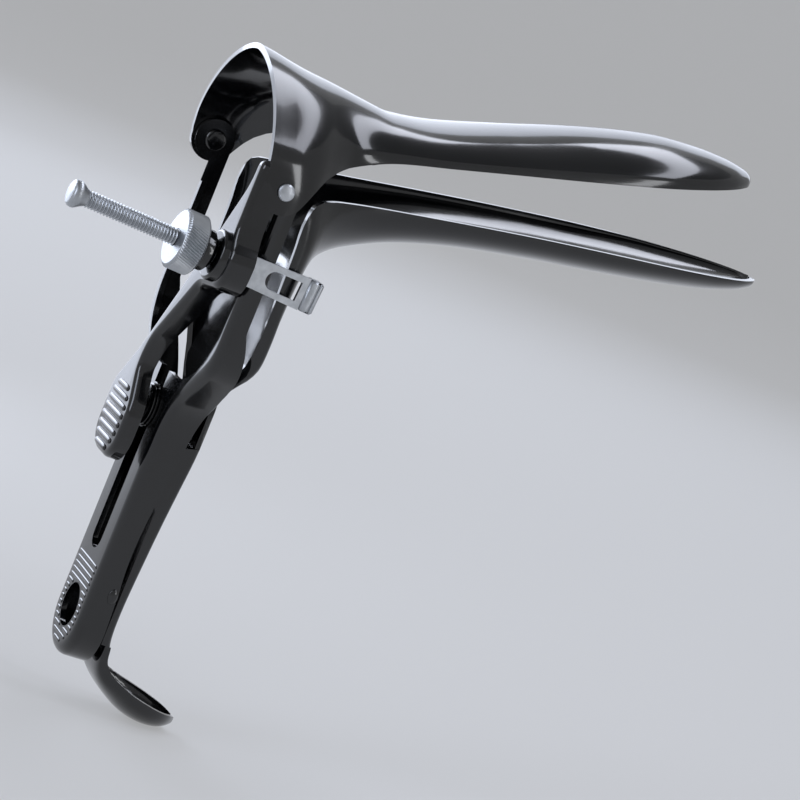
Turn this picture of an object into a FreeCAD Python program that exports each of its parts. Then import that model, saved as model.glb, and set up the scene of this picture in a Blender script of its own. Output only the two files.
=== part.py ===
"""Bivalve speculum with a sliding yoke, a hinged upper blade and a screw that sets its angle.

Pieces are laid out about the hinge axis: X runs back to the blade tips, Y to the far side, the
thumb lever is on the -Y side, Z runs up the handle. At the end everything is lifted and centred,
so that the origin is the middle of the footprint at the lowest point.
"""
import FreeCAD
import Part
import math
import os

Vector = FreeCAD.Vector

# Sheet, wire and fits
SHEET = 1.2            # pressed steel sheet of every shell
GAP = 0.3              # between sheets that slide or turn on each other
SEAT = 0.1             # between pieces that are fastened together
RUNNING = 0.05         # radial clearance of a pin in its hole
PRESS_RADIUS = 2.3     # outer radius of the bends of the yoke

# Half widths across the instrument
EAR_HALF = 27.2        # outside of the upper blade's ears
BLADE_HALF = 17.5      # both blades, 35 mm wide
STEM_HALF = 9.6        # outside of the yoke's stem
WINDOW_HALF = 22.5     # opening between the yoke's arms

# Heights on the yoke, from the hinge axis
SHOULDER_Z = -30.0     # where the arms start to run in
NECK_Z = -60.0         # where the stem starts
WINDOW_Z = -45.5       # lower edge of the window
WINDOW_CORNER = 15.0
SLOT_HALF = 3.0
SLOT_LOW_Z = -86.4
HOLE_Z = -99.5
HOLE_R = 4.75
YOKE_END_Z = -110.0
LIP_TOP_Z = -9.0       # the front lip ends here, only the side tab goes on
TAB_R = 4.4

# Yoke's side flanges, depth behind the front face
FLANGE_TOP = 4.2
FLANGE_NECK = 7.7
FLANGE_STEM = 5.7
FLANGE_END = 6.6

# Blades
UPPER_TIP = (106.9, 33.5)
LOWER_TIP = (117.0, 14.9)
THROAT_X = 26.0        # where the blades' mouth turns into the parallel blade
TIP_LENGTH = 36.0      # length over which the blade narrows to its tip
MOUTH_TOP = (-10.5, 23.6)
MOUTH_EAR_X = -5.2     # front edge of the ears
EAR_R = 4.9
WEB_X = 12.1           # rear of the lower blade's channel

# Handle
HANDLE_X = 11.2        # rear face of the handle at its top
HANDLE_TOP_Z = -44.0
HANDLE_WAIST = (8.7, -99.0)
FOOT_Z = -104.0        # where the strip turns into the foot
SPOON_END = (30.6, -116.0)

# Thumb lever
LEVER_X = -7.0         # front face
LEVER_SHEET = 1.1
LEVER_BEND = 1.5
THUMB_TOP_Z = -48.0
THUMB_END_Z = -66.9
THUMB_HALF = 8.3

# Screw
ROD_R = 1.85
ROD_TIP = (-40.9, -14.7)
ROD_SLOPE = 3.7        # degrees, the front end is higher
ROD_HEAD_R = 2.9
NUT_R = 6.35
NUT_LENGTH = 5.1
COLLAR_R = 4.3
COLLAR_LENGTH = 3.0
BOSS_R = 5.4
BOSS_LENGTH = 1.7
STRAP = 1.0
STRAP_HEIGHT = 6.2
STRAP_FRONT = -2.0
STRAP_REAR = 12.0
ROD_PLAY = 0.6         # of the screw in the lever's hole
KEEPER = 3.1

# Rivets and stud
RIVET_R = 1.5
RIVET_HEAD_R = 2.3
RIVET_HEAD = 0.8
STUD_Z = -54.0
STUD_R = 2.7
STUD_HEAD_R = 4.6
STUD_TAIL_R = 2.0
WASHER = 0.5
TRAVEL = 28.0          # the yoke slides up by this much

# The stack of sheets at each side of the hinge
ear_inner = EAR_HALF - SHEET
yoke_outer = ear_inner - GAP
yoke_inner = yoke_outer - SHEET
gusset_outer = yoke_inner - GAP - 0.25
gusset_inner = gusset_outer - SHEET
stem_inner = STEM_HALF - SHEET
handle_half = stem_inner - GAP - 0.15
handle_inner = handle_half - SHEET

# The screw runs over the middle of the arm's sheets, its front end higher
ROD_Y = -(yoke_outer + yoke_inner) / 2 + 0.75
rod_direction = Vector(math.cos(math.radians(ROD_SLOPE)), 0, -math.sin(math.radians(ROD_SLOPE)))

# The cup at the yoke's end rises to here when the yoke is up
SLIDE_LOW_Z = YOKE_END_Z + TRAVEL + STEM_HALF - SHEET


def at(x, z, y=0.0):
    return Vector(x, y, z)


def spline(points, start=None, end=None):
    """One smooth edge through the points, with end tangents where they matter."""
    curve = Part.BSplineCurve()
    if start is None:
        curve.interpolate(points)
    else:
        curve.interpolate(Points=points, InitialTangent=start, FinalTangent=end)
    return curve.toShape()


def line(a, b):
    return Part.LineSegment(a, b).toShape()


def closed(edges):
    return Part.Wire(Part.__sortEdges__(edges))


def rounded(corners):
    """Closed outline in the front view: straight runs joined by arcs, from (y, z, radius) rows."""
    edges = []
    ends = []
    for before, here, after in zip(corners[-1:] + corners[:-1], corners, corners[1:] + corners[:1]):
        corner = Vector(0, here[0], here[1])
        back = Vector(0, before[0], before[1]) - corner
        ahead = Vector(0, after[0], after[1]) - corner
        back.normalize()
        ahead.normalize()
        half_angle = back.getAngle(ahead) / 2
        reach = here[2] / math.tan(half_angle)
        inward = back + ahead
        inward.normalize()
        middle = corner + inward * (here[2] / math.sin(half_angle) - here[2])
        edges.append(Part.Arc(corner + back * reach, middle, corner + ahead * reach).toShape())
        ends.append((corner + back * reach, corner + ahead * reach))
    for here, after in zip(ends, ends[1:] + ends[:1]):
        edges.append(line(here[1], after[0]))
    return closed(edges)


def prism(wire, start, vector):
    """A solid from a flat wire, moved to its start and extruded."""
    face = Part.Face(wire)
    face.translate(start)
    return face.extrude(vector)


def side_profile(wire, low_y, high_y):
    """A profile drawn in the side view, as wide as the span from low_y to high_y."""
    return prism(wire, Vector(0, low_y, 0), Vector(0, high_y - low_y, 0))


def cylinder(radius, start, vector):
    return Part.makeCylinder(radius, vector.Length, start, vector)


def box(low, high):
    size = Vector(*high) - Vector(*low)
    return Part.makeBox(size.x, size.y, size.z, Vector(*low))


# Drawn shells: each section is an arched strip of sheet, from rim to rim over the ridge


def arch(rim, ridge, half, power, flank, inset):
    """Points of one arch in the plane through the rims and the ridge."""
    along = Vector(ridge[0] - rim[0], 0, ridge[1] - rim[1])
    depth = along.Length
    along.normalize()
    base = at(*rim)
    wide = half - inset
    rise = depth - flank - inset
    right = [(wide, 0.0), (wide, flank * 0.5)]
    for k in range(7):
        turn = math.pi / 2 * k / 7
        right.append((wide * math.cos(turn) ** (2 / power), flank + rise * math.sin(turn) ** (2 / power)))
    points = right + [(0.0, flank + rise)] + [(-y, s) for y, s in reversed(right)]
    return [base + along * s + Vector(0, y, 0) for y, s in points]


def arch_section(rim, ridge, half, power, flank):
    outer = arch(rim, ridge, half, power, flank, 0.0)
    inner = arch(rim, ridge, half, power, flank, SHEET)
    edges = [spline(outer), line(outer[-1], inner[-1]), spline(inner), line(inner[0], outer[0])]
    return closed(edges)


def drawn(stations):
    return Part.makeLoft([arch_section(*row) for row in stations], True, False)


def tip_width(distance):
    """Share of a blade's full width at a distance from its tip: an ellipse seen from above."""
    inside = min(distance / TIP_LENGTH, 1.0)
    return math.sqrt(1 - (1 - inside) ** 2)


def tip_rows(edge, reach, depth, side):
    """Sections of a blade's rounded end, from the tip back; side is 1 if the ridge is on top."""
    rows = []
    for distance in (0.1, 0.8, 2.6, 7.0, 14.0, 24.0):
        share = tip_width(distance)
        rim = edge(1 - distance / reach)
        low = SHEET + (depth - SHEET) * share + 0.4
        rows.append((rim, (rim[0], rim[1] + side * low), BLADE_HALF * share, 2.0, 0.4))
    return rows


def lower_blade():
    """Blade, mouth and side gussets in one drawn sheet, behind the flanges that slide past it."""
    reach = LOWER_TIP[0] - THROAT_X
    slope = (LOWER_TIP[1] - 2.9) / reach
    tongue_x = HANDLE_X - SHEET - SEAT
    clear_x = FLANGE_NECK + GAP + SEAT

    def rim(part):
        return (THROAT_X + reach * part, 2.9 + reach * slope * part + 0.9 * math.sin(math.pi * part))

    def low(part, depth):
        edge = rim(part)
        return (edge[0], edge[1] - depth)

    stations = tip_rows(rim, reach, 5.6, -1) + [
        (rim(0.60), low(0.60, 6.7), BLADE_HALF, 2.2, 0.4),
        (rim(0.42), low(0.42, 6.6), BLADE_HALF, 2.2, 0.4),
        (rim(0.20), low(0.20, 7.3), BLADE_HALF, 2.2, 0.4),
        (rim(0.07), low(0.07, 9.0), BLADE_HALF, 2.2, 0.4),
        ((24.0, 2.6), (25.0, -8.4), BLADE_HALF + 0.3, 2.2, 0.4),
        ((17.5, 1.6), (19.4, -11.6), BLADE_HALF + 1.6, 2.3, 0.4),
        ((12.6, 0.8), (15.6, -15.2), BLADE_HALF + 3.6, 2.6, 1.0),
        ((8.8, -0.6), (13.6, -19.6), gusset_outer - 0.4, 3.2, 3.0),
        ((7.5, -4.8), (12.7, -25.0), gusset_outer, 3.8, 4.0),
        ((7.8, -12.0), (WEB_X, -30.0), gusset_outer, 4.2, 4.0),
        ((clear_x - 0.1, -22.0), (WEB_X, -34.0), gusset_outer, 4.2, 3.0),
        ((clear_x, -31.0), (WEB_X - 0.2, -38.0), gusset_outer - 0.7, 4.2, 2.0),
        ((clear_x, -36.5), (WEB_X - 1.2, -40.5), gusset_outer - 2.4, 4.2, 1.0),
        ((clear_x, -41.5), (tongue_x, -44.0), gusset_outer - 7.4, 4.2, 0.5),
        ((clear_x, -46.0), (tongue_x, -48.0), STEM_HALF + 3.0, 4.2, 0.4),
        ((clear_x, -50.0), (tongue_x, -51.5), STEM_HALF - 0.8, 4.2, 0.4),
        ((clear_x - 0.4, -53.5), (tongue_x, -54.5), handle_inner - GAP, 4.2, 0.4),
        ((clear_x - 0.4, -57.0), (tongue_x, -57.5), handle_inner - GAP, 4.2, 0.4),
    ]
    shell = drawn(stations)
    return shell.cut(cylinder(STUD_TAIL_R + RUNNING, at(0, STUD_Z), Vector(30, 0, 0)))


def upper_blade():
    """Blade, hood-shaped mouth and ears in one drawn sheet."""
    reach = UPPER_TIP[0] - THROAT_X
    slope = (UPPER_TIP[1] - 12.9) / reach

    def rim(part):
        return (THROAT_X + reach * part, 12.9 + reach * slope * part)

    def high(part, depth):
        edge = rim(part)
        return (edge[0], edge[1] + depth)

    mouth = EAR_HALF
    stations = tip_rows(rim, reach, 8.0, 1) + [
        (rim(0.60), high(0.60, 9.0), BLADE_HALF, 2.0, 0.4),
        (rim(0.42), high(0.42, 8.0), BLADE_HALF, 2.0, 0.4),
        (rim(0.25), high(0.25, 6.7), BLADE_HALF, 2.1, 0.4),
        (rim(0.09), high(0.09, 6.2), BLADE_HALF, 2.1, 0.4),
        ((24.0, 12.4), (25.0, 20.3), BLADE_HALF, 2.1, 0.4),
        ((18.0, 10.0), (19.0, 20.8), BLADE_HALF + 0.4, 2.0, 0.4),
        ((13.6, 7.0), (14.0, 21.4), BLADE_HALF + 1.8, 2.0, 0.4),
        ((9.8, 1.6), (9.4, 21.9), mouth - 4.4, 2.0, 1.0),
        ((6.4, -4.0), (5.0, 22.3), mouth - 1.2, 2.0, 4.0),
        ((3.0, -6.4), (0.5, 22.7), mouth, 2.0, 7.5),
        ((-1.6, -6.4), (-4.8, 23.1), mouth, 2.0, 7.5),
        ((-6.2, -6.4), MOUTH_TOP, mouth, 2.0, 7.5),
    ]
    shell = drawn(stations)
    shell = shell.cut(ear_trim())
    shell = shell.common(box((-40, -EAR_HALF, -40), (200, EAR_HALF, 100)))
    shell = shell.cut(box((-8, -ear_inner, -8), (9, ear_inner, TAB_R + GAP)))
    hole = cylinder(RIVET_R + RUNNING, at(0, 0, -40), Vector(0, 80, 0))
    return shell.cut(hole)


def ear_trim():
    """Everything below the ears' round ends and in front of the mouth's leaning rim."""
    start = at(MOUTH_EAR_X, 3.0)
    front = at(-EAR_R, 0)
    low = at(0, -EAR_R)
    tangent = at(EAR_R * math.cos(math.radians(-30)), EAR_R * math.sin(math.radians(-30)))
    back = [tangent, at(6.2, 1.4), at(9.0, 5.2), at(13.6, 8.2), at(18.6, 10.4)]
    edges = [
        line(start, front),
        Part.Arc(front, at(-EAR_R * 0.7071, -EAR_R * 0.7071), low).toShape(),
        Part.Arc(low, at(EAR_R * math.sin(math.radians(30)), -EAR_R * math.cos(math.radians(30))), tangent).toShape(),
        spline(back),
        line(back[-1], at(18.6, -30)),
        line(at(18.6, -30), at(-40, -30)),
        line(at(-40, -30), at(-40, 3.0)),
        line(at(-40, 3.0), start),
    ]
    return side_profile(closed(edges), -40, 40)


def yoke_outline(top_z):
    """Front view of the yoke: two arms that run in to the stem, round at its lower end."""
    end = STEM_HALF - 0.01
    right = [
        (yoke_outer, SHOULDER_Z - 8.2, 12.0),
        (STEM_HALF, NECK_Z + 7.2, 14.0),
        (STEM_HALF, YOKE_END_Z, end),
    ]
    left = [(-y, z, radius) for y, z, radius in reversed(right)]
    return rounded([(yoke_outer, top_z, 0.01)] + right + left + [(-yoke_outer, top_z, 0.01)])


def front_edges(solid, x, skip_z=None):
    """Edges that lie in the front face, without a level top edge."""
    found = []
    for edge in solid.Edges:
        ends = edge.BoundBox
        flat = abs(ends.XMin - x) < 1e-4 and abs(ends.XMax - x) < 1e-4
        top = skip_z is not None and abs(ends.ZMin - skip_z) < 1e-4 and abs(ends.ZMax - skip_z) < 1e-4
        if flat and not top:
            found.append(edge)
    return found


def tray(wire, inner_wire, front_x, sheet, bend, depth, skip_z=None, inner_skip_z=None):
    """A pressed tray: flat front, rounded bend, side walls to the rear."""
    outer = prism(wire, Vector(front_x, 0, 0), Vector(depth, 0, 0))
    outer = outer.makeFillet(bend, front_edges(outer, front_x, skip_z))
    inner = prism(inner_wire, Vector(front_x + sheet, 0, 0), Vector(depth, 0, 0))
    inner = inner.makeFillet(bend - sheet, front_edges(inner, front_x + sheet, inner_skip_z))
    return outer.Solids[0].cut(inner.Solids[0]).Solids[0]


def window_cut():
    """The opening between the arms, with the slot that opens into it."""
    top = 30.0
    corner_y = WINDOW_HALF - WINDOW_CORNER
    corner_z = WINDOW_Z + WINDOW_CORNER
    bend = WINDOW_CORNER * (1 - math.sqrt(0.5))
    edges = []
    for side in (1, -1):
        edges.append(line(Vector(0, side * WINDOW_HALF, top), Vector(0, side * WINDOW_HALF, corner_z)))
        a = Vector(0, side * WINDOW_HALF, corner_z)
        middle = Vector(0, side * (WINDOW_HALF - bend), WINDOW_Z + bend)
        b = Vector(0, side * corner_y, WINDOW_Z)
        edges.append(Part.Arc(a, middle, b).toShape())
    edges.append(line(Vector(0, corner_y, WINDOW_Z), Vector(0, -corner_y, WINDOW_Z)))
    edges.append(line(Vector(0, WINDOW_HALF, top), Vector(0, -WINDOW_HALF, top)))
    window = prism(closed(edges), Vector(-5, 0, 0), Vector(30, 0, 0))
    low = SLOT_LOW_Z + SLOT_HALF
    slot = box((-5, -SLOT_HALF, low), (25, SLOT_HALF, WINDOW_Z + 5))
    end = cylinder(SLOT_HALF, at(-5, low), Vector(30, 0, 0))
    return window.fuse([slot, end])


def yoke_rear_trim():
    """Everything behind the flanges' rear edges, seen from the side."""
    edge = [at(FLANGE_TOP, 20), at(FLANGE_TOP, SHOULDER_Z), at(FLANGE_NECK, -53), at(FLANGE_STEM, -74)]
    edge += [at(FLANGE_STEM, -92), at(FLANGE_END, -109), at(FLANGE_END, -114)]
    edges = [line(edge[0], edge[1])]
    edges.append(spline(edge[1:5]))
    edges += [line(edge[4], edge[5]), line(edge[5], edge[6])]
    edges += [line(edge[6], at(40, -114)), line(at(40, -114), at(40, 20)), line(at(40, 20), edge[0])]
    return side_profile(closed(edges), -60, 60)


def yoke_frame():
    """Front frame: arms, stem and finger pad of one sheet, with the flanges that guide the handle."""
    wire = yoke_outline(0.0)
    inner_wire = yoke_outline(SHEET + 5).makeOffset2D(-SHEET)
    shell = tray(wire, inner_wire, 0.0, SHEET, PRESS_RADIUS, 14.0, 0.0, 5.0)
    shell = shell.cut(window_cut())
    shell = shell.cut(yoke_rear_trim())
    shell = shell.cut(box((-5, -yoke_inner, LIP_TOP_Z), (20, yoke_inner, 20)))
    for side in (1, -1):
        start = at(0, 0, side * yoke_inner)
        shell = shell.fuse(cylinder(TAB_R, start, Vector(0, side * SHEET, 0)))
    shell = shell.cut(cylinder(RIVET_R + RUNNING, at(0, 0, -40), Vector(0, 80, 0)))
    shell = shell.cut(cylinder(HOLE_R, at(-5, HOLE_Z), Vector(30, 0, 0)))
    return shell


def handle_rear(shift):
    """Rear curve of the handle in the side view, moved forward by shift."""
    waist_x, waist_z = HANDLE_WAIST
    straight_z = STUD_Z - 3.5
    run = [(HANDLE_X, straight_z), (HANDLE_X - 0.45, -65.0), (HANDLE_X - 1.4, -76.0)]
    run += [(waist_x + 0.35, -88.0), (waist_x, waist_z), (waist_x + 0.5, FOOT_Z)]
    points = [at(x - shift, z) for x, z in run]
    curve = spline(points, Vector(0, 0, -1), Vector(0.25, 0, -1))
    return [line(at(HANDLE_X - shift, HANDLE_TOP_Z), points[0]), curve], points[-1]


def handle_stem():
    """Channel behind the yoke: a flat head behind the lower blade, a strip, and a dished foot."""
    front = SHEET + GAP + GAP
    strip = FLANGE_END + GAP
    plate = HANDLE_X - SHEET
    flange_z = STUD_Z - STUD_HEAD_R
    edges, low = handle_rear(0.0)
    corners = [low, at(strip, FOOT_Z), at(strip, SLIDE_LOW_Z), at(front, SLIDE_LOW_Z + 7), at(front, flange_z - 2)]
    corners += [at(plate, flange_z), at(plate, HANDLE_TOP_Z), at(HANDLE_X, HANDLE_TOP_Z)]
    edges += [line(a, b) for a, b in zip(corners, corners[1:])]
    shell = side_profile(closed(edges), -handle_half, handle_half)
    long_edges = [e for e in shell.Edges if e.BoundBox.XMin > HANDLE_WAIST[0] - 0.5 and e.BoundBox.ZLength > 5
                  and e.BoundBox.YLength < 0.1 and e.BoundBox.XMax > plate + 0.1]
    shell = shell.makeFillet(SHEET - 0.2, long_edges).Solids[0]
    edges, low = handle_rear(SHEET)
    corners = [low, at(-5, FOOT_Z), at(-5, HANDLE_TOP_Z), at(plate, HANDLE_TOP_Z)]
    edges += [line(a, b) for a, b in zip(corners, corners[1:])]
    shell = shell.cut(side_profile(closed(edges), -handle_inner, handle_inner))
    head_half = handle_half - SHEET / 2
    round_z = HANDLE_TOP_Z - head_half
    ends = box((0, -20, flange_z), (30, 20, 0)).cut(box((-1, -head_half, flange_z - 1), (31, head_half, round_z)))
    ends = ends.cut(cylinder(head_half, at(-1, round_z), Vector(32, 0, 0)))
    shell = shell.cut(ends)
    shell = shell.fuse(handle_foot())
    return shell.cut(cylinder(STUD_TAIL_R + RUNNING, at(0, STUD_Z), Vector(30, 0, 0)))


def handle_foot():
    """Finger rest that the strip turns back into, dished upwards, so its rims are on the rear side."""
    waist_x, waist_z = HANDLE_WAIST
    rear_x = waist_x + 0.5
    end_x, end_z = SPOON_END
    return drawn([
        ((rear_x, FOOT_Z), (rear_x - 1.7, FOOT_Z), handle_half, 6.0, 0.2),
        ((rear_x + 0.2, FOOT_Z - 1.4), (rear_x - 1.6, FOOT_Z - 2.2), handle_half, 5.0, 0.2),
        ((10.4, -108.3), (8.9, -111.0), handle_half, 3.4, 0.3),
        ((13.2, -110.4), (12.2, -114.4), handle_half + 0.2, 2.4, 0.4),
        ((17.5, -112.3), (16.8, -117.3), handle_half + 0.4, 2.0, 0.4),
        ((22.8, -113.8), (22.4, -119.1), handle_half + 0.2, 2.0, 0.4),
        ((27.4, -114.9), (27.2, -119.1), handle_half * 0.75, 2.0, 0.4),
        ((end_x - 1.0, end_z + 0.5), (end_x - 1.0, end_z - 2.4), handle_half * 0.42, 2.0, 0.4),
        ((end_x, end_z), (end_x, end_z - 1.9), handle_half * 0.22, 2.0, 0.4),
    ])


def lever_outline():
    """Front view of the lever: tall ear, round pad for the screw, narrow neck, thumb rest."""
    side = -(EAR_HALF + SEAT + LEVER_SHEET)
    pad_y = ROD_Y - BOSS_R
    pad_inner = ROD_Y + BOSS_R + 0.55
    neck_y = pad_inner * 5 / 23
    half = THUMB_HALF
    end = THUMB_END_Z
    return rounded([
        (side, 4.8, 1.85),
        (side, -11.6, 9.0),
        (pad_y - 1.2, -15.2, 4.0),
        (pad_y - 0.6, -22.6, 5.0),
        (pad_inner, -24.4, 5.0),
        (neck_y, -41.2, 10.0),
        (neck_y, THUMB_TOP_Z + 1.0, 6.0),
        (-half, THUMB_TOP_Z - 6.5, 8.0),
        (-half, end, 6.2),
        (half, end, 6.2),
        (half, THUMB_TOP_Z - 4.0, 7.0),
        (0.4, -42.4, 14.0),
        (side + 20.0, -28.4, 20.0),
        (side + 4.0, -0.6, 12.0),
        (side + 3.8, 4.8, 1.85),
    ])


def lever_rear_trim():
    """Everything behind the lever's side walls, seen from the side."""
    clear = MOUTH_EAR_X - GAP
    edge = [at(clear, 8), at(clear, 0.8), at(-3.9, 0.4), at(-1.6, -5.0), at(-1.5, -12), at(-1.5, -24)]
    edge += [at(-2.1, -33), at(-3.5, THUMB_TOP_Z + 2), at(-3.7, -75), at(30, -75), at(30, 8)]
    loop = [line(a, b) for a, b in zip(edge, edge[1:] + edge[:1])]
    return side_profile(closed(loop), -40, 40)


def thumb_lever():
    """Pressed lever on the near ear, with the round boss that the nut pushes on."""
    outline = lever_outline()
    inner = outline.makeOffset2D(-LEVER_SHEET)
    shell = tray(outline, inner, LEVER_X, LEVER_SHEET, LEVER_BEND, 12.0)
    shell = shell.cut(lever_rear_trim())
    clear = TAB_R + GAP
    shell = shell.cut(box((-clear, -ear_inner, -clear), (10, 0, 10)))
    centre = rod_point(LEVER_X)
    ahead = rod_direction * -1
    boss = cylinder(BOSS_R, centre - ahead * (0.6 * LEVER_SHEET), ahead * (BOSS_LENGTH + 0.6 * LEVER_SHEET))
    boss = boss.makeFillet(0.7, [boss.Edges[index] for index in rim_edges(boss, ahead)])
    shell = shell.fuse(boss)
    hole = cylinder(ROD_R + ROD_PLAY, centre - ahead * 6, ahead * 12)
    return shell.cut(hole)


def rim_edges(solid, direction):
    """Index of the round edge that lies furthest along a direction."""
    heights = [edge.CenterOfMass.dot(direction) for edge in solid.Edges]
    top = max(heights)
    return [k for k, height in enumerate(heights) if height > top - 1e-6]


def turned(profile, origin, axis):
    """A round piece: a closed profile of (place along the axis, radius) about an axis."""
    points = [Vector(along, 0, radius) for along, radius in profile]
    edges = [line(a, b) for a, b in zip(points, points[1:] + points[:1])]
    solid = Part.Face(closed(edges)).revolve(Vector(0, 0, 0), Vector(1, 0, 0), 360)
    solid.Placement = FreeCAD.Placement(origin, FreeCAD.Rotation(Vector(1, 0, 0), axis))
    return solid


def rod_point(x):
    """Point of the screw's axis at a place along X."""
    return Vector(x, ROD_Y, ROD_TIP[1] - math.tan(math.radians(ROD_SLOPE)) * (x - ROD_TIP[0]))


def threaded_rod():
    """Screw with a peened head at its free end and a riveted tail in the strap."""
    length = (STRAP_FRONT + STRAP + 0.5 - ROD_TIP[0]) / math.cos(math.radians(ROD_SLOPE))
    fold = length - STRAP - 0.5
    tail = ROD_R * 0.75
    profile = [(0, 0), (0, 2.1), (0.5, ROD_HEAD_R - 0.15), (1.1, ROD_HEAD_R), (2.2, 2.5), (3.6, ROD_R)]
    profile += [(fold - SEAT, ROD_R), (fold - SEAT, tail), (fold + STRAP + SEAT, tail)]
    profile += [(fold + STRAP + SEAT, tail + 0.15), (length, tail), (length, 0)]
    return turned(profile, rod_point(ROD_TIP[0]), rod_direction)


def knurled_nut():
    """Round nut with bevelled ends."""
    bore = ROD_R + RUNNING
    bevel = 0.5
    profile = [(0, bore), (0, NUT_R - bevel), (bevel, NUT_R), (NUT_LENGTH - bevel, NUT_R)]
    profile += [(NUT_LENGTH, NUT_R - bevel), (NUT_LENGTH, bore)]
    start = rod_point(LEVER_X) - rod_direction * (BOSS_LENGTH + GAP + COLLAR_LENGTH + SEAT + NUT_LENGTH)
    return turned(profile, start, rod_direction)


def nut_collar():
    """Polished collar between the nut and the lever's boss."""
    bore = ROD_R + RUNNING
    bevel = 0.4
    profile = [(0, bore), (0, COLLAR_R - bevel), (bevel, COLLAR_R), (COLLAR_LENGTH - 1.0, COLLAR_R)]
    profile += [(COLLAR_LENGTH, COLLAR_R - 1.2), (COLLAR_LENGTH, bore)]
    start = rod_point(LEVER_X) - rod_direction * (BOSS_LENGTH + GAP + COLLAR_LENGTH)
    return turned(profile, start, rod_direction)


def on_rod(solid):
    """Moves a piece drawn level about the screw's axis at X 0 to its sloping place."""
    solid.rotate(Vector(0, 0, 0), Vector(0, 1, 0), ROD_SLOPE)
    solid.translate(rod_point(0.0))
    return solid


def rod_strap():
    """Flat strap that passes the outside of the arm, folded in front of it to hold the screw."""
    low = -(yoke_outer + GAP + STRAP) - ROD_Y
    front_half = STRAP_HEIGHT / 2
    rear_half = front_half + 0.35
    corners = [at(STRAP_FRONT, front_half, low), at(STRAP_REAR, rear_half, low)]
    corners += [at(STRAP_REAR, -rear_half, low), at(STRAP_FRONT, -front_half, low)]
    loop = [line(a, b) for a, b in zip(corners, corners[1:] + corners[:1])]
    leg = Part.Face(closed(loop)).extrude(Vector(0, STRAP, 0))
    fold = box((STRAP_FRONT, low, -front_half), (STRAP_FRONT + STRAP, -low, front_half))
    strap = leg.fuse(fold).removeSplitter()
    corner = [e for e in strap.Edges if abs(e.CenterOfMass.x - STRAP_FRONT) < 0.01
              and abs(e.CenterOfMass.y - low) < 0.01 and abs(e.CenterOfMass.z) < 0.01]
    strap = strap.makeFillet(0.9, corner)
    slot_r = 2.0
    slot = box((3.0 + slot_r, low - 1, -slot_r), (10.6, low + STRAP + 1, slot_r))
    slot = slot.fuse(cylinder(slot_r, at(3.0 + slot_r, 0, low - 1), Vector(0, STRAP + 2, 0)))
    strap = strap.cut(slot)
    strap = strap.cut(cylinder(ROD_R * 0.75 + 0.02, at(-10, 0), Vector(15, 0, 0)))
    return on_rod(strap)


def strap_keeper():
    """Block across the strap's rear end that hooks behind the bend of the blade's gusset."""
    low = -(yoke_outer + GAP + STRAP + 0.6) - ROD_Y
    high = -gusset_outer + 0.2 - ROD_Y
    half = STRAP_HEIGHT / 2 + 0.3
    start = STRAP_REAR + 0.02
    block = box((start, low, -half), (start + KEEPER, high, half))
    block = block.makeChamfer(0.45, block.Edges)
    groove = box((start + 0.55 * KEEPER, low - 1, -half - 1), (start + 0.7 * KEEPER, low + 0.35, half + 1))
    return on_rod(block.cut(groove))


def hinge_rivet(side):
    """Rivet fixed in the yoke's tab, on which the blade's ear turns."""
    inside = yoke_inner - RIVET_HEAD
    outside = EAR_HALF + SEAT
    edge = RIVET_HEAD_R
    profile = [(inside, 0), (inside, edge - 0.3), (inside + 0.3, edge), (yoke_inner - 0.02, edge)]
    profile += [(yoke_inner - 0.02, RIVET_R), (outside, RIVET_R), (outside, edge)]
    profile += [(outside + 0.35, edge - 0.1), (outside + 0.7, edge - 0.7), (outside + RIVET_HEAD, 0)]
    return turned(profile, Vector(0, 0, 0), Vector(0, side, 0))


def slide_stud():
    """Shouldered stud riveted through handle and blade, whose head holds the yoke by its slot."""
    head = -(2 * SEAT + WASHER)
    web = HANDLE_X - 2 * SHEET - SEAT
    profile = [(head - 0.9, 0), (head - 0.9, STUD_HEAD_R - 0.5), (head - 0.4, STUD_HEAD_R)]
    profile += [(head, STUD_HEAD_R), (head, STUD_R), (web - GAP, STUD_R), (web - GAP, STUD_TAIL_R)]
    profile += [(HANDLE_X + 2 * SEAT, STUD_TAIL_R), (HANDLE_X + 2 * SEAT, STUD_HEAD_R - 0.9)]
    profile += [(HANDLE_X + 0.6, STUD_HEAD_R - 1.0), (HANDLE_X + 1.0, STUD_TAIL_R), (HANDLE_X + 1.1, 0)]
    return turned(profile, at(0, STUD_Z), Vector(1, 0, 0))


def slide_washer():
    bore = STUD_R + RUNNING
    ring = STUD_HEAD_R + 0.3
    profile = [(-SEAT - WASHER, bore), (-SEAT - WASHER, ring), (-SEAT, ring), (-SEAT, bore)]
    return turned(profile, at(0, STUD_Z), Vector(1, 0, 0))


parts = {
    "lower_blade": lower_blade(),
    "handle_stem": handle_stem(),
    "slide_stud": slide_stud(),
    "slide_washer": slide_washer(),
    "yoke_frame": yoke_frame(),
    "hinge_rivet_near": hinge_rivet(-1),
    "hinge_rivet_far": hinge_rivet(1),
    "upper_blade": upper_blade(),
    "thumb_lever": thumb_lever(),
    "threaded_rod": threaded_rod(),
    "rod_strap": rod_strap(),
    "strap_keeper": strap_keeper(),
    "nut_collar": nut_collar(),
    "knurled_nut": knurled_nut(),
}

whole = Part.makeCompound(list(parts.values())).optimalBoundingBox(False)
lift = Vector(-(whole.XMin + whole.XMax) / 2, -(whole.YMin + whole.YMax) / 2, -whole.ZMin)
print("moved by", lift)

os.makedirs("parts", exist_ok=True)
for name, shape in parts.items():
    shape.translate(lift)
    print(name, shape.isValid(), len(shape.Solids), round(shape.Volume, 1))
    shape.exportStep("parts/" + name + ".step")
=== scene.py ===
"""Bivalve speculum in a glossy black coat, with its plain steel screw, nut and strap."""
import math

import bmesh
import bpy
from mathutils import Matrix, Quaternion, Vector


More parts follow.
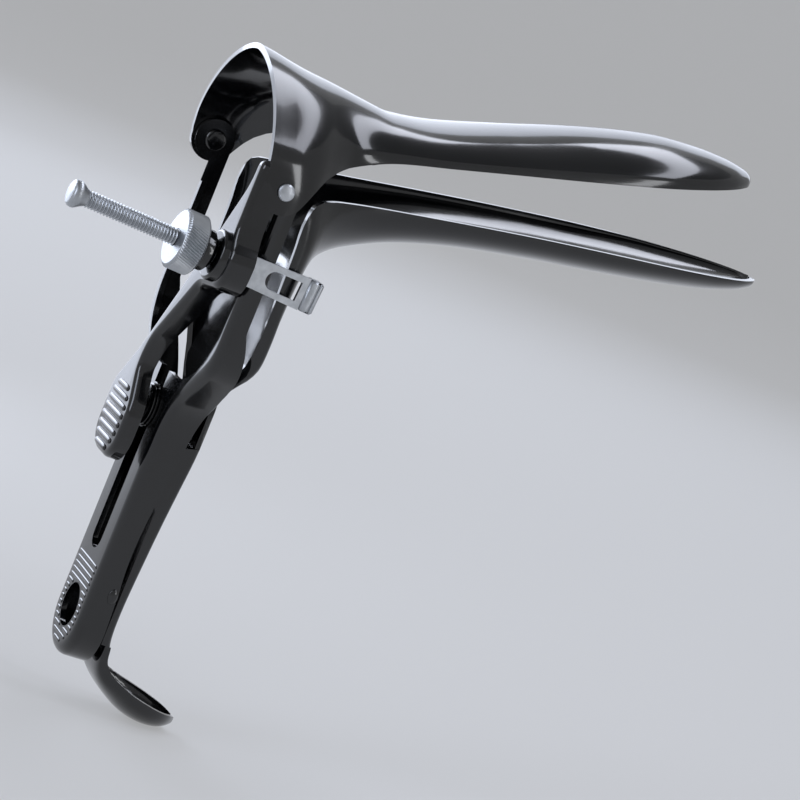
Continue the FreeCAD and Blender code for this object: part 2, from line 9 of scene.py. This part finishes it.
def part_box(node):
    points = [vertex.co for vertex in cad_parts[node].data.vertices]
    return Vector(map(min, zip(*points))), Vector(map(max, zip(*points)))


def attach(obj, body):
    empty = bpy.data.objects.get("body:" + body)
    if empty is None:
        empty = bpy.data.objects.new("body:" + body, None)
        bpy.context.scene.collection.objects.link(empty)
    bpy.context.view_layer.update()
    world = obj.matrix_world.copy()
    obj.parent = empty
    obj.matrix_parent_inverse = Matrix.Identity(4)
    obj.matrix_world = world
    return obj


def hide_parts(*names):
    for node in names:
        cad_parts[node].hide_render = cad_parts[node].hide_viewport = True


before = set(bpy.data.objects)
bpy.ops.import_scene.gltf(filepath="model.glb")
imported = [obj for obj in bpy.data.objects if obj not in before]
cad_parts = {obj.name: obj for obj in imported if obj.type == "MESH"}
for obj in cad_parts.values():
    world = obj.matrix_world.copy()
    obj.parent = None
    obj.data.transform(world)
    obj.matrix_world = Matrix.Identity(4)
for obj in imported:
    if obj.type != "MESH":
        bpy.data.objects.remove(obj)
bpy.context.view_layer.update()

# The hinge between the blades is the reference for every place on the instrument.
# Places are given in millimetres from it: X to the blades' tips, Y to the far side, Z up.
rivet_low, rivet_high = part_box("hinge_rivet_near")
arms_low, arms_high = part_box("yoke_frame")
hinge = (rivet_low + rivet_high) / 2
hinge.y = (arms_low.y + arms_high.y) / 2
MM = 0.001


def at(x, y, z):
    """Place in metres of a point given in millimetres from the hinge."""
    return hinge + Vector((x, y, z)) * MM


# Camera: a long lens on the near side, a little above the hinge and leaning to its left,
# so that the handle leans in the picture and the blades run out to the right.
CAMERA_PLACE = (-269.7, -751.7, 74.8)
CAMERA_AIM = (0.3895, 0.9112, -0.1342)
CAMERA_ROLL = 22.48
CAMERA_LENS = 175.1

camera_data = bpy.data.cameras.new("camera")
camera_data.lens = CAMERA_LENS
camera_data.sensor_width = 36.0
camera_data.clip_start = 0.05
camera = bpy.data.objects.new("camera", camera_data)
bpy.context.scene.collection.objects.link(camera)
camera.location = at(*CAMERA_PLACE)
upright = Vector(CAMERA_AIM).to_track_quat("-Z", "Y")
camera.rotation_mode = "QUATERNION"
camera.rotation_quaternion = upright @ Quaternion((0, 0, 1), math.radians(CAMERA_ROLL))
bpy.context.scene.camera = camera
bpy.context.scene.view_settings.view_transform = "Standard"


# Studio: a pale seamless floor that turns up into the backdrop. Softboxes in front of the mouth, a long
# strip over the blades and soft light from behind give the black coat its long pale highlights.
FLOOR_COLOUR = "#dcdddf"
BACKDROP_COLOUR = "#dfe0e2"
BACKDROP_GLOW = 0.86
PART_LIT = 0.55           # share of the even light in what the floor and backdrop show
COVE_RADIUS = 3.0         # metres, the backdrop is as high
COVE_BEND = 1.2


def linear(colour):
    """Linear colour of an sRGB hex value."""
    channels = [int(colour[k:k + 2], 16) / 255 for k in (1, 3, 5)]
    return [c / 12.92 if c <= 0.04045 else ((c + 0.055) / 1.055) ** 2.4 for c in channels] + [1.0]


def add(tree, kind, inputs=None, **settings):
    """Adds a node with its settings, and its inputs as values or as links from other nodes' outputs."""
    node = tree.nodes.new(kind)
    for name, value in settings.items():
        setattr(node, name, value)
    for name, value in (inputs or {}).items():
        if isinstance(value, bpy.types.NodeSocket):
            tree.links.new(value, node.inputs[name])
        else:
            node.inputs[name].default_value = value
    return node


def new_material(name):
    """An empty node material with its output."""
    material = bpy.data.materials.new(name)
    material.use_nodes = True
    material.node_tree.nodes.clear()
    return material, material.node_tree


def into_scene(name, bm, smooth=True):
    """Turns a finished bmesh into an object of the scene."""
    mesh = bpy.data.meshes.new(name)
    bm.to_mesh(mesh)
    bm.free()
    if smooth:
        mesh.polygons.foreach_set("use_smooth", [True] * len(mesh.polygons))
    piece = bpy.data.objects.new(name, mesh)
    bpy.context.scene.collection.objects.link(piece)
    return piece


seamless, tree = new_material("matt_paper_backdrop")
paper = add(tree, "ShaderNodeBsdfDiffuse", {"Color": linear(FLOOR_COLOUR)})
ray = add(tree, "ShaderNodeLightPath")
straight = add(tree, "ShaderNodeMath", {
    0: ray.outputs["Is Camera Ray"], 1: ray.outputs["Is Glossy Ray"]}, operation="MAXIMUM")
direct = add(tree, "ShaderNodeMath", {
    0: straight.outputs[0], 1: ray.outputs["Is Transmission Ray"]}, operation="MAXIMUM")
part_lit = add(tree, "ShaderNodeMath", {0: direct.outputs[0], 1: PART_LIT}, operation="MULTIPLY")
even = add(tree, "ShaderNodeEmission", {"Color": linear(BACKDROP_COLOUR), "Strength": BACKDROP_GLOW})
mixed = add(tree, "ShaderNodeMixShader", {0: part_lit.outputs[0], 1: paper.outputs[0], 2: even.outputs[0]})
add(tree, "ShaderNodeOutputMaterial", {"Surface": mixed.outputs[0]})

bm = bmesh.new()
bmesh.ops.create_circle(bm, cap_ends=True, segments=96, radius=COVE_RADIUS)
rim = [edge for edge in bm.edges if edge.is_boundary]
wall = bmesh.ops.extrude_edge_only(bm, edges=rim)["geom"]
wall_top = [v for v in wall if isinstance(v, bmesh.types.BMVert)]
bmesh.ops.translate(bm, verts=wall_top, vec=(0, 0, COVE_RADIUS))
corner = [edge for edge in bm.edges if all(v.co.z < 0.001 for v in edge.verts)]
bmesh.ops.bevel(bm, geom=corner, offset=COVE_BEND, offset_type="OFFSET", segments=10, profile=0.5,
                affect="EDGES", material=-1)
cove = into_scene("floor_and_backdrop", bm)
cove.data.materials.append(seamless)


def softbox(name, place, aim, width, height, power, colour):
    """A rectangular lamp at a place in millimetres from the hinge, turned to another such place."""
    lamp = bpy.data.lights.new(name, "AREA")
    lamp.shape = "RECTANGLE"
    lamp.size = width
    lamp.size_y = height
    lamp.energy = power
    lamp.color = linear(colour)[:3]
    holder = bpy.data.objects.new(name, lamp)
    holder.location = at(*place)
    holder.rotation_euler = (at(*aim) - at(*place)).to_track_quat("-Z", "Y").to_euler()
    bpy.context.scene.collection.objects.link(holder)


softbox("front_softbox", (-420, 840, 220), (0, 0, -40), 0.5, 0.5, 3.4, "#e6eeff")
softbox("low_front_softbox", (-118, 292, -12), (-7, -5, -50), 0.26, 0.2, 0.3, "#e6eeff")
softbox("left_softbox", (-850, -300, 300), (0, 0, -30), 0.3, 0.6, 2.4, "#e6eeff")
softbox("overhead_strip", (430, 60, 840), (40, 0, 0), 1.5, 0.2, 4.6, "#eef2ff")
softbox("back_softbox", (430, 960, 400), (20, 0, -20), 1.1, 0.5, 2.2, "#e6eeff")
softbox("back_low_softbox", (110, 960, 100), (20, 0, -100), 0.6, 0.11, 0.3, "#e6eeff")
softbox("near_fill", (620, -900, 250), (20, 0, -30), 0.14, 0.6, 1.3, "#f6f8fc")


ROOM_COLOUR = "#b4b6ba"
ROOM_STRENGTH = 0.45

world = bpy.data.worlds.new("studio")
bpy.context.scene.world = world
world.use_nodes = True
world.node_tree.nodes.clear()
room = add(world.node_tree, "ShaderNodeBackground", {"Color": linear(ROOM_COLOUR), "Strength": ROOM_STRENGTH})
add(world.node_tree, "ShaderNodeOutputWorld", {"Surface": room.outputs[0]})


# The coat: a hard glossy black lacquer on pressed steel. It shows long mirror-like highlights that
# break up slightly over the drawn sheet, and fine handling haze.
COAT_COLOUR = "#08090b"
COAT_IOR = 1.55
RIPPLE_MM = 7.0           # the waves that drawing the sheet leaves
PEEL_MM = 0.55            # the fine orange peel of the lacquer
HAZE_MM = 18

black_coat, tree = new_material("glossy_black_coated_steel")
place = add(tree, "ShaderNodeTexCoord")
ripple = add(tree, "ShaderNodeTexNoise", {
    "Vector": place.outputs["Object"], "Scale": 1 / (RIPPLE_MM * MM), "Detail": 1.0})
peel = add(tree, "ShaderNodeTexNoise", {
    "Vector": place.outputs["Object"], "Scale": 1 / (PEEL_MM * MM), "Detail": 2.0})
low_bump = add(tree, "ShaderNodeBump", {
    "Height": ripple.outputs["Fac"], "Strength": 0.12, "Distance": 0.2 * MM})
fine_bump = add(tree, "ShaderNodeBump", {
    "Height": peel.outputs["Fac"], "Strength": 0.05, "Distance": 0.03 * MM,
    "Normal": low_bump.outputs["Normal"]})
haze = add(tree, "ShaderNodeTexNoise", {
    "Vector": place.outputs["Object"], "Scale": 1 / (HAZE_MM * MM), "Detail": 5.0})
gloss = add(tree, "ShaderNodeMapRange", {
    "Value": haze.outputs["Fac"], "From Min": 0.35, "From Max": 0.7, "To Min": 0.11, "To Max": 0.2})
lacquer = add(tree, "ShaderNodeBsdfPrincipled", {
    "Base Color": linear(COAT_COLOUR), "Roughness": gloss.outputs["Result"], "IOR": COAT_IOR,
    "Coat Weight": 0.35, "Coat Roughness": 0.05, "Normal": fine_bump.outputs["Normal"]})
add(tree, "ShaderNodeOutputMaterial", {"Surface": lacquer.outputs["BSDF"]})


# Steel finishes: turned steel on screw, nut and keeper, with tool rings about the screw's axis,
# and a brighter brushed strap. Both show the grey of plain steel with soft broken highlights.
TURNED_COLOUR = "#c3c6ca"
BRIGHT_COLOUR = "#d6d9dd"
SPOT_COLOUR = "#a4a8ad"
SPOT_MM = 1.6


def steel(name, colour, roughness, grain_mm, stretch):
    """Plain steel whose fine grain is stretched along the directions with a small factor."""
    material, tree = new_material(name)
    place = add(tree, "ShaderNodeTexCoord")
    turn = add(tree, "ShaderNodeMapping", {"Vector": place.outputs["Object"], "Scale": stretch})
    grain = add(tree, "ShaderNodeTexNoise", {
        "Vector": turn.outputs["Vector"], "Scale": 1 / (grain_mm * MM), "Detail": 3.0})
    bump = add(tree, "ShaderNodeBump", {
        "Height": grain.outputs["Fac"], "Strength": 0.25, "Distance": 0.04 * MM})
    spots = add(tree, "ShaderNodeTexNoise", {
        "Vector": place.outputs["Object"], "Scale": 1 / (SPOT_MM * MM), "Detail": 4.0})
    tone = add(tree, "ShaderNodeMix", {
        "Factor": spots.outputs["Fac"], "A": linear(colour), "B": linear(SPOT_COLOUR)}, data_type="RGBA")
    rough = add(tree, "ShaderNodeMapRange", {
        "Value": grain.outputs["Fac"], "To Min": roughness - 0.08, "To Max": roughness + 0.12})
    metal = add(tree, "ShaderNodeBsdfPrincipled", {
        "Base Color": tone.outputs[2], "Metallic": 1.0, "Roughness": rough.outputs["Result"],
        "Normal": bump.outputs["Normal"]})
    add(tree, "ShaderNodeOutputMaterial", {"Surface": metal.outputs["BSDF"]})
    return material


turned_steel = steel("turned_plain_steel", TURNED_COLOUR, 0.36, 0.3, (6.0, 1.0, 1.0))
bright_steel = steel("brushed_bright_steel", BRIGHT_COLOUR, 0.4, 0.35, (1.0, 1.0, 7.0))


# Upper and lower blade: each is one sheet, drawn over a former into arched sections.
# A section runs from rim to rim over a ridge; a grid is laid over the sections and given the
# sheet's thickness inwards.
SHEET = 1.2
BLADE_HALF = 17.5
TIP_LENGTH = 36.0
THROAT_X = 26.0
EAR_HALF = 27.2
UPPER_TIP = (106.9, 33.5)
LOWER_TIP = (117.0, 14.9)
ACROSS = 56
ALONG = 120
FLANK_SHARE = 0.94        # of the half section, from the ridge to where the straight rim starts
CROWDING = 1.6            # the grid's rows lie closer together at the tip
TIP_TAPER = 1.45          # the depth shrinks faster to the tip than the width


def tip_rows(edge, reach, depth, side):
    """Sections of a blade's rounded end, from the tip back; side is 1 if the ridge is on top."""
    rows = []
    for distance in (0.1, 0.8, 2.6, 7.0, 14.0, 24.0):
        inside = distance / TIP_LENGTH
        share = math.sqrt(1 - (1 - inside) ** 2)
        rim = edge(1 - distance / reach)
        low = SHEET + (depth - SHEET) * share ** TIP_TAPER + 0.3
        rows.append((rim, (rim[0], rim[1] + side * low), BLADE_HALF * share, 2.0, 0.4))
    return rows


def drawn_sheet(name, rows):
    """One sheet drawn over the sections: a grid laid over them, thickened inwards."""
    flat = [list(rim) + list(ridge) + [half, power, flank] for rim, ridge, half, power, flank in rows]
    gone = [0.0]
    for a, b in zip(flat, flat[1:]):
        rim_run = math.hypot(a[0] - b[0], a[1] - b[1])
        ridge_run = math.hypot(a[2] - b[2], a[3] - b[3])
        gone.append(gone[-1] + (rim_run + ridge_run) / 2)

    def slope(k, part):
        low = max(k - 1, 0)
        high = min(k + 1, len(flat) - 1)
        return (flat[high][part] - flat[low][part]) / (gone[high] - gone[low])

    def section(reach):
        k = max(j for j in range(len(gone) - 1) if gone[j] <= reach)
        span = gone[k + 1] - gone[k]
        t = (reach - gone[k]) / span
        values = []
        for part, first in enumerate(flat[k]):
            rise = flat[k + 1][part] - first
            start = slope(k, part) * span
            end = slope(k + 1, part) * span
            bent = (3 * rise - 2 * start - end) * t ** 2 + (start + end - 2 * rise) * t ** 3
            values.append(first + start * t + bent)
        return values

    bm = bmesh.new()
    bmesh.ops.create_grid(bm, x_segments=ACROSS, y_segments=ALONG, size=1.0)
    for vert in bm.verts:
        across = vert.co.x
        reach = gone[-1] * ((vert.co.y + 1) / 2) ** CROWDING
        rim_x, rim_z, ridge_x, ridge_z, half, power, flank = section(reach)
        depth = math.hypot(ridge_x - rim_x, ridge_z - rim_z)
        if abs(across) > FLANK_SHARE:
            side = 1.0
            up = flank * (1 - abs(across)) / (1 - FLANK_SHARE)
        else:
            turn = math.pi / 2 * (1 - abs(across) / FLANK_SHARE)
            side = max(math.cos(turn), 0.0) ** (2 / power)
            up = flank + (depth - flank) * math.sin(turn) ** (2 / power)
        x = rim_x + (ridge_x - rim_x) / depth * up
        z = rim_z + (ridge_z - rim_z) / depth * up
        vert.co = at(x, math.copysign(half * side, across), z)
    if rows[0][1][1] < rows[0][0][1]:
        bmesh.ops.reverse_faces(bm, faces=bm.faces)
    piece = into_scene(name, bm)
    sheet = piece.modifiers.new("sheet", "SOLIDIFY")
    sheet.thickness = SHEET * MM
    sheet.offset = -1.0
    return piece


def cut(piece, tool):
    """Takes a tool's shape out of a piece and removes the tool."""
    step = piece.modifiers.new("cut", "BOOLEAN")
    step.operation = "DIFFERENCE"
    step.solver = "EXACT"
    step.object = tool
    bpy.context.view_layer.update()
    shaped = bpy.data.meshes.new_from_object(piece.evaluated_get(bpy.context.evaluated_depsgraph_get()))
    piece.modifiers.clear()
    piece.data = shaped
    bpy.data.objects.remove(tool)


def side_prism(name, outline, half_width):
    """A prism across the instrument, from an outline of (x, z) in the side view."""
    bm = bmesh.new()
    corners = [bm.verts.new(at(x, -half_width, z)) for x, z in outline]
    face = bm.faces.new(corners)
    far = bmesh.ops.extrude_face_region(bm, geom=[face])["geom"]
    far_corners = [v for v in far if isinstance(v, bmesh.types.BMVert)]
    bmesh.ops.translate(bm, verts=far_corners, vec=(0, 2 * half_width * MM, 0))
    bmesh.ops.recalc_face_normals(bm, faces=bm.faces)
    return into_scene(name, bm, smooth=False)


def finished(piece, body, node, finish, edge_mm, crease=40.0):
    """Breaks the piece's edges, keeps its faces even, and puts it in its place on the frame."""
    bevel = piece.modifiers.new("broken_edges", "BEVEL")
    bevel.width = edge_mm * MM
    bevel.segments = 2
    bevel.limit_method = "ANGLE"
    bevel.angle_limit = math.radians(crease)
    bevel.harden_normals = True
    piece.data.materials.clear()
    piece.data.materials.append(finish)
    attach(piece, body)
    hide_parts(node)


# Upper blade
upper_reach = UPPER_TIP[0] - THROAT_X
upper_slope = (UPPER_TIP[1] - 12.9) / upper_reach


def upper_rim(part):
    return (THROAT_X + upper_reach * part, 12.9 + upper_reach * upper_slope * part)


def over_rim(part, depth):
    x, z = upper_rim(part)
    return (x, z + depth)


upper_rows = tip_rows(upper_rim, upper_reach, 8.6, 1) + [
    (upper_rim(0.52), over_rim(0.52, 8.4), BLADE_HALF, 2.0, 0.4),
    (upper_rim(0.30), over_rim(0.30, 7.1), BLADE_HALF, 2.05, 0.4),
    (upper_rim(0.12), over_rim(0.12, 6.5), BLADE_HALF, 2.1, 0.4),
    ((24.0, 12.4), (25.0, 20.3), BLADE_HALF, 2.1, 0.4),
    ((18.0, 10.0), (19.0, 20.8), BLADE_HALF + 0.4, 2.0, 0.4),
    ((13.6, 7.0), (14.0, 21.4), BLADE_HALF + 1.8, 2.0, 0.4),
    ((9.8, 1.6), (9.4, 21.9), EAR_HALF - 4.4, 2.0, 1.0),
    ((6.4, -4.0), (5.0, 22.3), EAR_HALF - 1.2, 2.0, 4.0),
    ((2.8, -6.4), (0.6, 22.9), EAR_HALF - 0.2, 1.9, 7.5),
    ((-1.0, -6.4), (-3.4, 23.6), EAR_HALF, 1.75, 8.8),
    ((-4.5, -6.4), (-7.15, 24.1), EAR_HALF, 1.68, 9.6),
]
upper = drawn_sheet("upper_blade_sheet", upper_rows)
EAR_R = 4.9
EAR_FRONT_Z = 1.6
ear_turns = [math.radians(degrees) for degrees in range(-90, 61, 10)]
ear_round = [(EAR_R * math.sin(turn), -EAR_R * math.cos(turn)) for turn in ear_turns]
ear_back = [(6.2, 1.4), (7.4, 3.4), (9.0, 5.2), (11.2, 6.9), (13.6, 8.2), (18.6, 10.4)]
under_ears = [(-5.25, EAR_FRONT_Z)] + ear_round + ear_back
under_ears += [(18.6, -30), (-40, -30), (-40, EAR_FRONT_Z)]
cut(upper, side_prism("under_ears", under_ears, 40))
finished(upper, "upper", "upper_blade", black_coat, 0.22)

# Lower blade
lower_reach = LOWER_TIP[0] - THROAT_X
lower_slope = (LOWER_TIP[1] - 2.9) / lower_reach


def lower_rim(part):
    rise = lower_reach * lower_slope * part + 0.9 * math.sin(math.pi * part)
    return (THROAT_X + lower_reach * part, 2.9 + rise)


def under_rim(part, depth):
    x, z = lower_rim(part)
    return (x, z - depth)


GUSSET = 23.95
TONGUE_X = 9.9
CLEAR_X = 8.1
WEB_X = 12.1
lower_rows = tip_rows(lower_rim, lower_reach, 5.8, -1) + [
    (lower_rim(0.58), under_rim(0.58, 6.3), BLADE_HALF, 2.2, 0.4),
    (lower_rim(0.38), under_rim(0.38, 6.7), BLADE_HALF, 2.2, 0.4),
    (lower_rim(0.20), under_rim(0.20, 7.4), BLADE_HALF, 2.2, 0.4),
    (lower_rim(0.07), under_rim(0.07, 9.0), BLADE_HALF, 2.2, 0.4),
    ((24.0, 2.6), (25.0, -8.4), BLADE_HALF + 0.3, 2.2, 0.4),
    ((17.5, 1.6), (19.4, -11.6), BLADE_HALF + 1.6, 2.3, 0.4),
    ((12.6, 0.8), (15.6, -15.2), BLADE_HALF + 3.6, 2.6, 1.0),
    ((8.8, -0.6), (13.6, -19.6), GUSSET - 0.4, 3.2, 3.0),
    ((7.5, -4.8), (12.7, -25.0), GUSSET, 3.8, 4.0),
    ((7.8, -12.0), (WEB_X, -30.0), GUSSET, 4.2, 4.0),
    ((8.0, -22.0), (WEB_X, -34.0), GUSSET, 4.2, 3.0),
    ((CLEAR_X, -31.0), (WEB_X - 0.2, -38.0), GUSSET - 0.7, 4.2, 2.0),
    ((CLEAR_X, -36.5), (WEB_X - 1.2, -40.5), GUSSET - 2.4, 4.2, 1.0),
    ((CLEAR_X, -41.5), (TONGUE_X, -44.0), GUSSET - 7.4, 4.2, 0.5),
    ((CLEAR_X, -46.0), (TONGUE_X, -48.0), 12.6, 4.2, 0.4),
    ((CLEAR_X, -50.0), (TONGUE_X, -51.5), 8.8, 4.2, 0.4),
    ((CLEAR_X - 0.4, -53.5), (TONGUE_X, -54.5), 6.45, 4.2, 0.4),
    ((CLEAR_X - 0.4, -57.0), (TONGUE_X, -57.5), 6.45, 4.2, 0.4),
]
lower = drawn_sheet("lower_blade_sheet", lower_rows)
finished(lower, "handle", "lower_blade", black_coat, 0.22)


def dressed(node, body, finish, edge_mm=0.12, crease=38.0):
    """A merged, smooth copy of a solid, which stands for it and takes a finish."""
    bm = bmesh.new()
    bm.from_mesh(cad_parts[node].data)
    bmesh.ops.remove_doubles(bm, verts=bm.verts, dist=0.000002)
    bmesh.ops.dissolve_limit(bm, angle_limit=math.radians(0.4), verts=bm.verts, edges=bm.edges)
    piece = into_scene(node + "_dressed", bm)
    piece.data.set_sharp_from_angle(angle=math.radians(crease))
    finished(piece, body, node, finish, edge_mm, crease)
    return piece


# Handle and yoke: pressed trays of the same coated sheet. The handle's strip turns back into a dished
# finger rest, and the yoke slides on the stud that holds both together.
RIVET_SHANK = 1.6
RIVET_SHRINK = 0.8        # the near rivet's flattened head is smaller than the solid's

dressed("handle_stem", "handle", black_coat, edge_mm=0.2)
dressed("slide_stud", "handle", black_coat)
dressed("slide_washer", "handle", black_coat)
dressed("yoke_frame", "yoke", black_coat, edge_mm=0.2)
dressed("hinge_rivet_far", "yoke", black_coat)
# The near rivet is the same black-coated rivet as the far one. Its bright steel finish is a painted
# highlight, standing in for the light its flat head catches.
near_rivet_painted_highlight = dressed("hinge_rivet_near", "yoke", bright_steel)
for v in near_rivet_painted_highlight.data.vertices:
    from_axis = v.co - hinge
    from_axis.y = 0.0
    if from_axis.length > RIVET_SHANK * MM:
        v.co -= from_axis * (1 - RIVET_SHRINK)


# Grip ribs: low rounded ridges pressed across the yoke's finger pad and the lever's thumb rest, in the
# same sheet, so they carry the same coat.
PAD_HALF = 7.3
PAD_END_Z = -100.4
HOLE_Z = -99.5
HOLE_R = 4.75
PAD_PITCH = 1.3
THUMB_MIDDLE_Z = -58.4
THUMB_REACH = 8.2
THUMB_HALF = 6.4
THUMB_PITCH = 1.9
THUMB_RIBS = 8
LEVER_X = -7.0
RIB_TOP_Z = -89.0
PAD_RIBS = 15
PAD_RIB = (0.42, 0.2)     # half height and rise of a rib on the finger pad
THUMB_RIB = (0.8, 0.5)
DIMPLE_PLACE = (4.7, -9.6, -93.2)
DIMPLE_RADII = (1.1, 0.45, 1.7)


def rib(bm, x, y_low, y_high, z, half_height, rise):
    """Adds one rounded ridge across the instrument to a bmesh, half sunk in the face at x."""
    before = set(bm.verts)
    made = bmesh.ops.create_cone(bm, cap_ends=True, segments=12, radius1=1.0, radius2=1.0, depth=1.0)
    edges = {edge for v in made["verts"] for edge in v.link_edges}
    ends = [edge for edge in edges if abs(edge.verts[0].co.z - edge.verts[1].co.z) < 0.01]
    bmesh.ops.bevel(bm, geom=ends, offset=0.4, offset_type="OFFSET", segments=3, profile=0.5,
                    affect="EDGES", material=-1)
    middle = (y_low + y_high) / 2
    length = y_high - y_low
    for v in bm.verts:
        if v not in before:
            across, up, along = v.co
            v.co = at(x - rise * up, middle + along * length, z + half_height * across)


bm = bmesh.new()
for k in range(PAD_RIBS):
    z = RIB_TOP_Z - PAD_PITCH * k
    below = max(PAD_END_Z - z, 0.0)
    half = math.sqrt(max(PAD_HALF ** 2 - below ** 2, 0.0)) - 0.4
    hole = math.sqrt(max((HOLE_R + 0.5) ** 2 - (z - HOLE_Z) ** 2, 0.0))
    if half > hole + 0.8 and hole > 0:
        rib(bm, 0.0, -half, -hole, z, *PAD_RIB)
        rib(bm, 0.0, hole, half, z, *PAD_RIB)
    elif half > 1.5 and hole == 0:
        rib(bm, 0.0, -half, half, z, *PAD_RIB)
dimple = Matrix.Translation(at(*DIMPLE_PLACE)) @ Matrix.Diagonal([r * MM for r in DIMPLE_RADII] + [1.0])
bmesh.ops.create_uvsphere(bm, u_segments=24, v_segments=12, radius=1.0, matrix=dimple)
pad_ribs = into_scene("finger_pad_ribs", bm)
pad_ribs.data.materials.append(black_coat)
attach(pad_ribs, "yoke")

bm = bmesh.new()
for k in range(THUMB_RIBS):
    z = THUMB_MIDDLE_Z + THUMB_PITCH * ((THUMB_RIBS - 1) / 2 - k)
    half = THUMB_HALF * math.sqrt(1 - ((z - THUMB_MIDDLE_Z) / THUMB_REACH) ** 2)
    rib(bm, LEVER_X, -half, half, z, *THUMB_RIB)
thumb_ribs = into_scene("thumb_rest_ribs", bm)
thumb_ribs.data.materials.append(black_coat)
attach(thumb_ribs, "upper")

# Thumb lever: pressed tray on the near ear, with a round boss for the screw.
dressed("thumb_lever", "upper", black_coat, edge_mm=0.2)


# Screw: turned from plain steel, rolled thread, peened head at the free end. Its thread is a V ridge
# swept along the axis by its pitch for each turn.
ROD_Y = -24.35
ROD_TIP_X = -40.9
ROD_TIP_Z = -14.7
ROD_SLOPE = 3.7
THREAD_R = 1.85
CORE_R = 1.5
PITCH = 0.7
THREAD_START = 3.4
THREAD_END = 39.6
THREAD_STEPS = 24

slope = math.radians(ROD_SLOPE)
rod_axis = Vector((math.cos(slope), 0, -math.sin(slope)))
rod_tip = at(ROD_TIP_X, ROD_Y, ROD_TIP_Z)
to_rod = Matrix.Translation(rod_tip) @ rod_axis.to_track_quat("X", "Z").to_matrix().to_4x4()


def turned(profile, segments, start=0.0):
    """Spins a closed profile of (along, radius) in millimetres about the screw's axis."""
    bm = bmesh.new()
    corners = [bm.verts.new(((start + along) * MM, 0, radius * MM)) for along, radius in profile]
    loop = [bm.edges.new(pair) for pair in zip(corners, corners[1:] + corners[:1])]
    bmesh.ops.spin(bm, geom=corners + loop, cent=(0, 0, 0), axis=(1, 0, 0), angle=2 * math.pi,
                   steps=segments, use_merge=True)
    bmesh.ops.remove_doubles(bm, verts=bm.verts, dist=0.000001)
    bmesh.ops.recalc_face_normals(bm, faces=bm.faces)
    return bm


tail = THREAD_R * 0.75
rod_low, rod_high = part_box("threaded_rod")
length = (rod_high.x - rod_low.x) / MM / math.cos(slope) - 0.1
core = [(0, 0.001), (0, 2.1), (0.2, 2.5), (0.5, 2.75), (1.1, 2.9), (1.6, 2.85), (2.2, 2.5), (2.9, 2.05)]
core += [(3.6, 1.7), (4.2, CORE_R), (THREAD_END - 0.4, CORE_R), (THREAD_END, tail)]
core += [(length, tail), (length, 0.001)]
bm = turned(core, 48)
root_r = CORE_R - 0.05
ridge_profile = [(THREAD_START, root_r), (THREAD_START + PITCH / 2, THREAD_R), (THREAD_START + PITCH, root_r)]
ridge = [bm.verts.new((along * MM, 0, radius * MM)) for along, radius in ridge_profile]
flanks = [bm.edges.new(pair) for pair in zip(ridge, ridge[1:])]
turns = int((THREAD_END - 0.6 - THREAD_START) / PITCH) - 1
bmesh.ops.spin(bm, geom=ridge + flanks, cent=(0, 0, 0), axis=(1, 0, 0), angle=2 * math.pi * turns,
               dvec=(PITCH * MM / THREAD_STEPS, 0, 0), steps=THREAD_STEPS * turns)
bm.transform(to_rod)
screw = into_scene("threaded_screw", bm)
screw.data.set_sharp_from_angle(angle=math.radians(40))
screw.data.materials.append(turned_steel)
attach(screw, "rod")
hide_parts("threaded_rod")


# Nut: turned from plain steel, with a slanted knurl all round so that fingers can turn it. A black
# collar lies behind it.
NUT_R = 6.35
NUT_LENGTH = 5.1
NUT_BEVEL = 0.55
NUT_BORE = 1.9
TEETH = 66
TOOTH = 0.34
KNURL_SLANT = 18          # degrees off the screw's axis
nut_low, nut_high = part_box("knurled_nut")
nut_middle = (nut_low + nut_high) / 2
nut_start = (nut_middle - rod_tip).dot(rod_axis) / MM - NUT_LENGTH / 2
face_r = NUT_R - NUT_BEVEL - 0.2
bevel_r = NUT_R - NUT_BEVEL
profile = [(0, NUT_BORE), (0, face_r), (0.15, bevel_r), (NUT_BEVEL, NUT_R), (NUT_LENGTH - NUT_BEVEL, NUT_R)]
profile += [(NUT_LENGTH - 0.15, bevel_r), (NUT_LENGTH, face_r), (NUT_LENGTH, NUT_BORE)]
bm = turned(profile, TEETH * 4, nut_start)
for v in bm.verts:
    radius = math.hypot(v.co.y, v.co.z)
    if radius > (NUT_R - 0.1) * MM:
        step = round(math.atan2(v.co.z, v.co.y) / (2 * math.pi) * TEETH * 4) % 4
        low = (0.0, 0.6, 1.0, 0.6)[step] * TOOTH * MM
        v.co.y *= (radius - low) / radius
        v.co.z *= (radius - low) / radius
twist = math.tan(math.radians(KNURL_SLANT)) / NUT_R
for v in bm.verts:
    v.co = Matrix.Rotation((v.co.x / MM - nut_start) * twist, 3, "X") @ v.co
bm.transform(to_rod)
nut = into_scene("knurled_nut_turned", bm)
nut.data.set_sharp_from_angle(angle=math.radians(30))
nut.data.materials.append(turned_steel)
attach(nut, "nut")
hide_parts("knurled_nut")
dressed("nut_collar", "collar", black_coat)


# Strap and keeper: a bright slotted strap folded round the arm, with a plain milled block on its rear end.
dressed("rod_strap", "rod", bright_steel, edge_mm=0.18)
dressed("strap_keeper", "rod", turned_steel, edge_mm=0.12)
